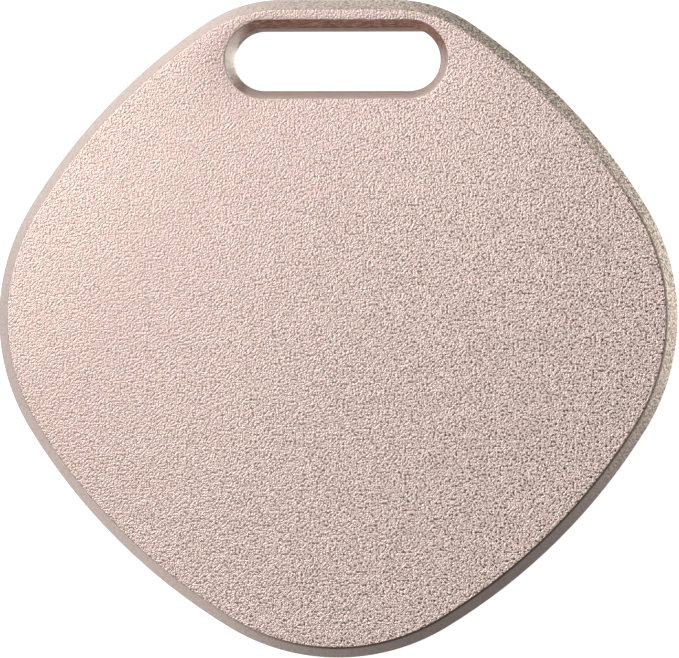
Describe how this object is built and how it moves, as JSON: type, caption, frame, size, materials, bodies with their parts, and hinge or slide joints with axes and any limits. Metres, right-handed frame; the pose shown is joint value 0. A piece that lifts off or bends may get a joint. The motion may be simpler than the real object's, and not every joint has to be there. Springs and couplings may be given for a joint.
{
  "type": "bluetooth tracker tag",
  "caption": "Rounded, diamond-like tracker tag with a strap slot near its top, a textured metal-look face that presses, and a case that opens for its coin cell.",
  "frame": {"origin": "centre of the bounding box on the rear face it rests on", "axes": "+Z out of the front face, +Y towards the strap slot, +X to the right seen from the front"},
  "size_m": [0.044, 0.0426, 0.008],
  "materials": {
    "front_metal": "rose-gold metallic, leather texture on the face, satin on the rim",
    "rear_plastic": "matt black",
    "frame_plastic": "matt dark grey",
    "pad_silicone": "matt",
    "seal_rubber": "matt",
    "pad_foam": "matt",
    "cell_steel": "satin",
    "contact_bronze": "satin",
    "film": "semi-gloss",
    "board": "satin solder mask",
    "screw_steel": "satin",
    "chip_black": "matt",
    "part_ceramic": "matt"
  },
  "bodies": {
    "rear_case": {"rear_cover": "rear_plastic", "seal_ring": "seal_rubber", "cell_pad": "pad_foam"},
    "cell": {"cell_can": "cell_steel", "cell_cap": "cell_steel", "cell_grommet": "rear_plastic"},
    "frame": {"carrier_frame": "frame_plastic", "circuit_board": "board", "board_screw_1": "screw_steel", "board_screw_2": "screw_steel", "board_screw_3": "screw_steel", "board_screw_4": "screw_steel", "negative_contact": "contact_bronze", "positive_contact": "contact_bronze", "insulating_sheet": "film", "radio_shield": "screw_steel", "radio_chip": "chip_black", "main_crystal": "screw_steel", "clock_crystal": "screw_steel", "antenna_chip": "part_ceramic", "antenna_coil": "chip_black", "supply_capacitor_1": "part_ceramic", "supply_capacitor_2": "part_ceramic", "filter_capacitor": "part_ceramic", "sounder_coil": "chip_black", "switch_body": "screw_steel", "sounder_tape": "pad_foam", "sounder_plate": "contact_bronze", "sounder_ceramic": "part_ceramic", "sounder_contact_plate": "contact_bronze", "sounder_contact_ceramic": "contact_bronze"},
    "face": {"front_cover": "front_metal", "press_pad": "pad_silicone"},
    "plunger": {"switch_plunger": "rear_plastic"}
  },
  "joints": [
    {"name": "case_open", "type": "slide", "parent": "rear_case", "child": "frame", "axis": [0, 0, 1], "range_m": [0, 0.012]},
    {"name": "cell_out", "type": "slide", "parent": "rear_case", "child": "cell", "axis": [0, 0, 1], "range_m": [0, 0.006]},
    {"name": "face_press", "type": "slide", "parent": "frame", "child": "face", "axis": [0, 0, -1], "range_m": [0, 0.00025], "stiffness_N_per_m": 4000, "springref_m": -0.0001},
    {"name": "switch_press", "type": "slide", "parent": "frame", "child": "plunger", "axis": [0, 0, -1], "range_m": [0, 0.00025]}
  ],
  "couplings": [
    {"joint": "cell_out", "follows": "case_open", "ratio": 0.5},
    {"joint": "switch_press", "follows": "face_press", "ratio": 1}
  ]
}
